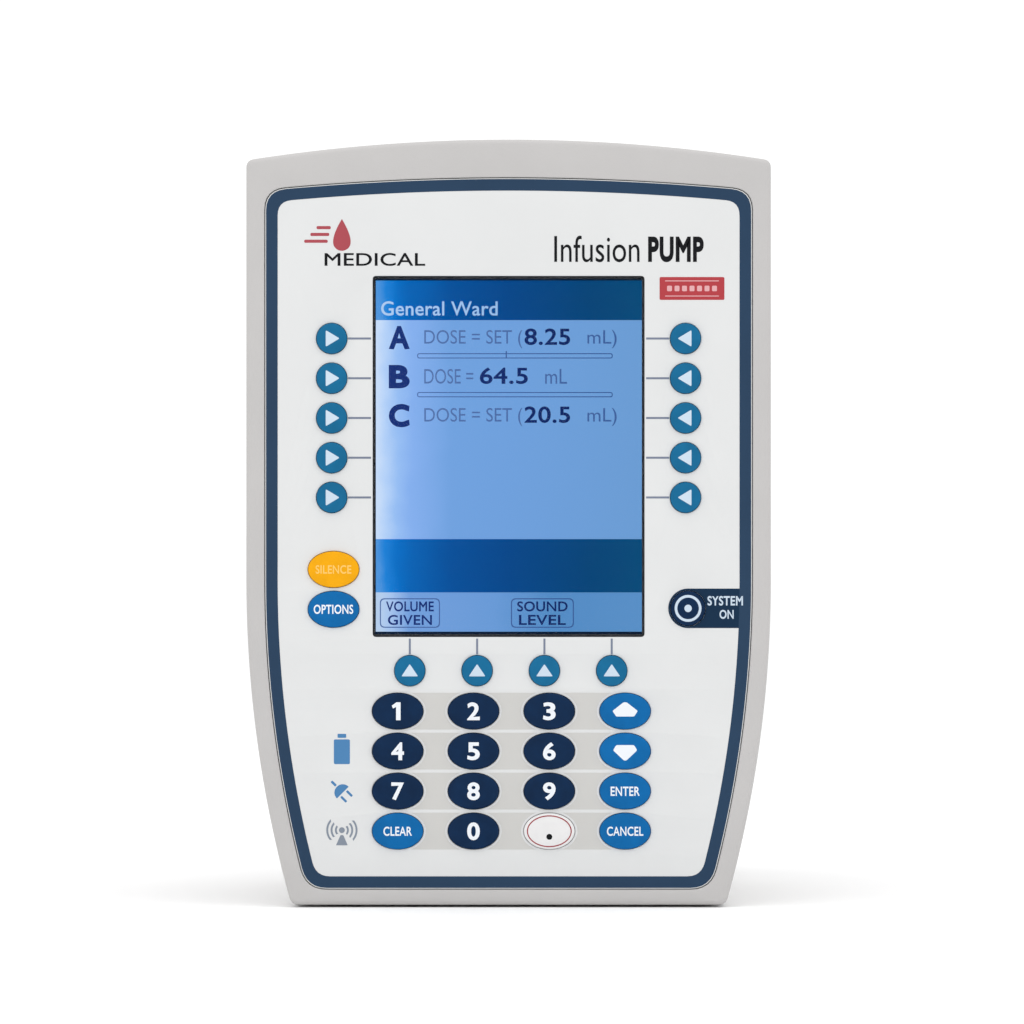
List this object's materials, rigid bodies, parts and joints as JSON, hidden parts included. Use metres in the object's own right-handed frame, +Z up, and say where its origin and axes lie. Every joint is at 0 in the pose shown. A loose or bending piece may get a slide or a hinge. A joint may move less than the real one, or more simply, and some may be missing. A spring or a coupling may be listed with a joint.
{
  "type": "infusion pump",
  "caption": "Central control unit of a modular infusion pump: portrait display, keypad, soft keys, carry handle and rear pole clamp.",
  "frame": {"origin": "middle of the unit's width and depth, on the surface that it stands on", "axes": "+X to the right of someone facing the keys, +Y back through the unit to the pole clamp, +Z up"},
  "size_m": [0.17, 0.2152, 0.2488],
  "materials": {
    "casing": "fine textured moulded plastic",
    "panel": "printed panel, white with a navy border",
    "key_navy": "satin",
    "key_blue": "satin",
    "key_amber": "satin",
    "key_white": "satin",
    "window": "clear",
    "display": "lit display module in a metal frame",
    "silicone": "matt",
    "board": "circuit board",
    "sheet_metal": "folded sheet",
    "battery": "wrapped cells",
    "black_plastic": "matt",
    "rubber": "matt",
    "steel": "turned",
    "cast_metal": "painted casting"
  },
  "bodies": {
    "unit": {"front_bezel": "casing", "front_panel": "panel", "display_window": "window", "display_gasket": "rubber", "lcd_module": "display", "key_mat": "silicone", "keypad_board": "board", "chassis_plate": "sheet_metal", "main_board": "board", "power_supply": "sheet_metal", "battery_pack": "battery", "speaker": "black_plastic", "rear_case": "casing", "battery_cover": "casing", "battery_screw": "steel", "mains_inlet": "black_plastic", "data_ports": "black_plastic", "right_module_connector": "black_plastic", "left_module_connector": "black_plastic", "carry_handle": "casing", "clamp_body": "cast_metal", "foot_left": "rubber", "foot_right": "rubber"},
    "key_0": {"key_0": "key_navy"},
    "key_1": {"key_1": "key_navy"},
    "key_2": {"key_2": "key_navy"},
    "key_3": {"key_3": "key_navy"},
    "key_4": {"key_4": "key_navy"},
    "key_5": {"key_5": "key_navy"},
    "key_6": {"key_6": "key_navy"},
    "key_7": {"key_7": "key_navy"},
    "key_8": {"key_8": "key_navy"},
    "key_9": {"key_9": "key_navy"},
    "key_point": {"key_point": "key_white"},
    "key_clear": {"key_clear": "key_blue"},
    "key_enter": {"key_enter": "key_blue"},
    "key_cancel": {"key_cancel": "key_blue"},
    "key_up": {"key_up": "key_blue"},
    "key_down": {"key_down": "key_blue"},
    "key_silence": {"key_silence": "key_amber"},
    "key_options": {"key_options": "key_blue"},
    "key_system_on": {"key_system_on": "key_navy"},
    "soft_left_1": {"soft_left_1": "key_blue"},
    "soft_left_2": {"soft_left_2": "key_blue"},
    "soft_left_3": {"soft_left_3": "key_blue"},
    "soft_left_4": {"soft_left_4": "key_blue"},
    "soft_left_5": {"soft_left_5": "key_blue"},
    "soft_right_1": {"soft_right_1": "key_blue"},
    "soft_right_2": {"soft_right_2": "key_blue"},
    "soft_right_3": {"soft_right_3": "key_blue"},
    "soft_right_4": {"soft_right_4": "key_blue"},
    "soft_right_5": {"soft_right_5": "key_blue"},
    "soft_bottom_1": {"soft_bottom_1": "key_blue"},
    "soft_bottom_2": {"soft_bottom_2": "key_blue"},
    "soft_bottom_3": {"soft_bottom_3": "key_blue"},
    "soft_bottom_4": {"soft_bottom_4": "key_blue"},
    "tamper_switch": {"tamper_switch": "black_plastic"},
    "clamp_jaw_pad": {"clamp_pad": "rubber"},
    "clamp_handwheel": {"clamp_screw": "steel", "clamp_knob": "black_plastic"}
  },
  "joints": [
    {"name": "press_key_0", "type": "slide", "parent": "unit", "child": "key_0", "axis": [0, 1, 0], "range_m": [0, 0.0012], "stiffness_N_per_m": 900},
    {"name": "press_key_1", "type": "slide", "parent": "unit", "child": "key_1", "axis": [0, 1, 0], "range_m": [0, 0.0012], "stiffness_N_per_m": 900},
    {"name": "press_key_2", "type": "slide", "parent": "unit", "child": "key_2", "axis": [0, 1, 0], "range_m": [0, 0.0012], "stiffness_N_per_m": 900},
    {"name": "press_key_3", "type": "slide", "parent": "unit", "child": "key_3", "axis": [0, 1, 0], "range_m": [0, 0.0012], "stiffness_N_per_m": 900},
    {"name": "press_key_4", "type": "slide", "parent": "unit", "child": "key_4", "axis": [0, 1, 0], "range_m": [0, 0.0012], "stiffness_N_per_m": 900},
    {"name": "press_key_5", "type": "slide", "parent": "unit", "child": "key_5", "axis": [0, 1, 0], "range_m": [0, 0.0012], "stiffness_N_per_m": 900},
    {"name": "press_key_6", "type": "slide", "parent": "unit", "child": "key_6", "axis": [0, 1, 0], "range_m": [0, 0.0012], "stiffness_N_per_m": 900},
    {"name": "press_key_7", "type": "slide", "parent": "unit", "child": "key_7", "axis": [0, 1, 0], "range_m": [0, 0.0012], "stiffness_N_per_m": 900},
    {"name": "press_key_8", "type": "slide", "parent": "unit", "child": "key_8", "axis": [0, 1, 0], "range_m": [0, 0.0012], "stiffness_N_per_m": 900},
    {"name": "press_key_9", "type": "slide", "parent": "unit", "child": "key_9", "axis": [0, 1, 0], "range_m": [0, 0.0012], "stiffness_N_per_m": 900},
    {"name": "press_key_point", "type": "slide", "parent": "unit", "child": "key_point", "axis": [0, 1, 0], "range_m": [0, 0.0012], "stiffness_N_per_m": 900},
    {"name": "press_key_clear", "type": "slide", "parent": "unit", "child": "key_clear", "axis": [0, 1, 0], "range_m": [0, 0.0012], "stiffness_N_per_m": 900},
    {"name": "press_key_enter", "type": "slide", "parent": "unit", "child": "key_enter", "axis": [0, 1, 0], "range_m": [0, 0.0012], "stiffness_N_per_m": 900},
    {"name": "press_key_cancel", "type": "slide", "parent": "unit", "child": "key_cancel", "axis": [0, 1, 0], "range_m": [0, 0.0012], "stiffness_N_per_m": 900},
    {"name": "press_key_up", "type": "slide", "parent": "unit", "child": "key_up", "axis": [0, 1, 0], "range_m": [0, 0.0012], "stiffness_N_per_m": 900},
    {"name": "press_key_down", "type": "slide", "parent": "unit", "child": "key_down", "axis": [0, 1, 0], "range_m": [0, 0.0012], "stiffness_N_per_m": 900},
    {"name": "press_key_silence", "type": "slide", "parent": "unit", "child": "key_silence", "axis": [0, 1, 0], "range_m": [0, 0.0012], "stiffness_N_per_m": 900},
    {"name": "press_key_options", "type": "slide", "parent": "unit", "child": "key_options", "axis": [0, 1, 0], "range_m": [0, 0.0012], "stiffness_N_per_m": 900},
    {"name": "press_key_system_on", "type": "slide", "parent": "unit", "child": "key_system_on", "axis": [0, 1, 0], "range_m": [0, 0.0012], "stiffness_N_per_m": 900},
    {"name": "press_soft_left_1", "type": "slide", "parent": "unit", "child": "soft_left_1", "axis": [0, 1, 0], "range_m": [0, 0.0012], "stiffness_N_per_m": 900},
    {"name": "press_soft_left_2", "type": "slide", "parent": "unit", "child": "soft_left_2", "axis": [0, 1, 0], "range_m": [0, 0.0012], "stiffness_N_per_m": 900},
    {"name": "press_soft_left_3", "type": "slide", "parent": "unit", "child": "soft_left_3", "axis": [0, 1, 0], "range_m": [0, 0.0012], "stiffness_N_per_m": 900},
    {"name": "press_soft_left_4", "type": "slide", "parent": "unit", "child": "soft_left_4", "axis": [0, 1, 0], "range_m": [0, 0.0012], "stiffness_N_per_m": 900},
    {"name": "press_soft_left_5", "type": "slide", "parent": "unit", "child": "soft_left_5", "axis": [0, 1, 0], "range_m": [0, 0.0012], "stiffness_N_per_m": 900},
    {"name": "press_soft_right_1", "type": "slide", "parent": "unit", "child": "soft_right_1", "axis": [0, 1, 0], "range_m": [0, 0.0012], "stiffness_N_per_m": 900},
    {"name": "press_soft_right_2", "type": "slide", "parent": "unit", "child": "soft_right_2", "axis": [0, 1, 0], "range_m": [0, 0.0012], "stiffness_N_per_m": 900},
    {"name": "press_soft_right_3", "type": "slide", "parent": "unit", "child": "soft_right_3", "axis": [0, 1, 0], "range_m": [0, 0.0012], "stiffness_N_per_m": 900},
    {"name": "press_soft_right_4", "type": "slide", "parent": "unit", "child": "soft_right_4", "axis": [0, 1, 0], "range_m": [0, 0.0012], "stiffness_N_per_m": 900},
    {"name": "press_soft_right_5", "type": "slide", "parent": "unit", "child": "soft_right_5", "axis": [0, 1, 0], "range_m": [0, 0.0012], "stiffness_N_per_m": 900},
    {"name": "press_soft_bottom_1", "type": "slide", "parent": "unit", "child": "soft_bottom_1", "axis": [0, 1, 0], "range_m": [0, 0.0012], "stiffness_N_per_m": 900},
    {"name": "press_soft_bottom_2", "type": "slide", "parent": "unit", "child": "soft_bottom_2", "axis": [0, 1, 0], "range_m": [0, 0.0012], "stiffness_N_per_m": 900},
    {"name": "press_soft_bottom_3", "type": "slide", "parent": "unit", "child": "soft_bottom_3", "axis": [0, 1, 0], "range_m": [0, 0.0012], "stiffness_N_per_m": 900},
    {"name": "press_soft_bottom_4", "type": "slide", "parent": "unit", "child": "soft_bottom_4", "axis": [0, 1, 0], "range_m": [0, 0.0012], "stiffness_N_per_m": 900},
    {"name": "press_tamper_switch", "type": "slide", "parent": "unit", "child": "tamper_switch", "axis": [0, -1, 0], "range_m": [0, 0.002], "stiffness_N_per_m": 500},
    {"name": "clamp_pad_slide", "type": "slide", "parent": "unit", "child": "clamp_jaw_pad", "axis": [-1, 0, 0], "range_m": [-0.004, 0.018]},
    {"name": "clamp_knob_turn", "type": "hinge", "parent": "clamp_jaw_pad", "child": "clamp_handwheel", "pos_m": [0.061, 0.08255, 0.1008], "axis": [-1, 0, 0], "range_deg": [-481, 2161]}
  ],
  "couplings": [
    {"joint": "clamp_knob_turn", "follows": "clamp_pad_slide", "rad_per_m": 2094.4}
  ]
}
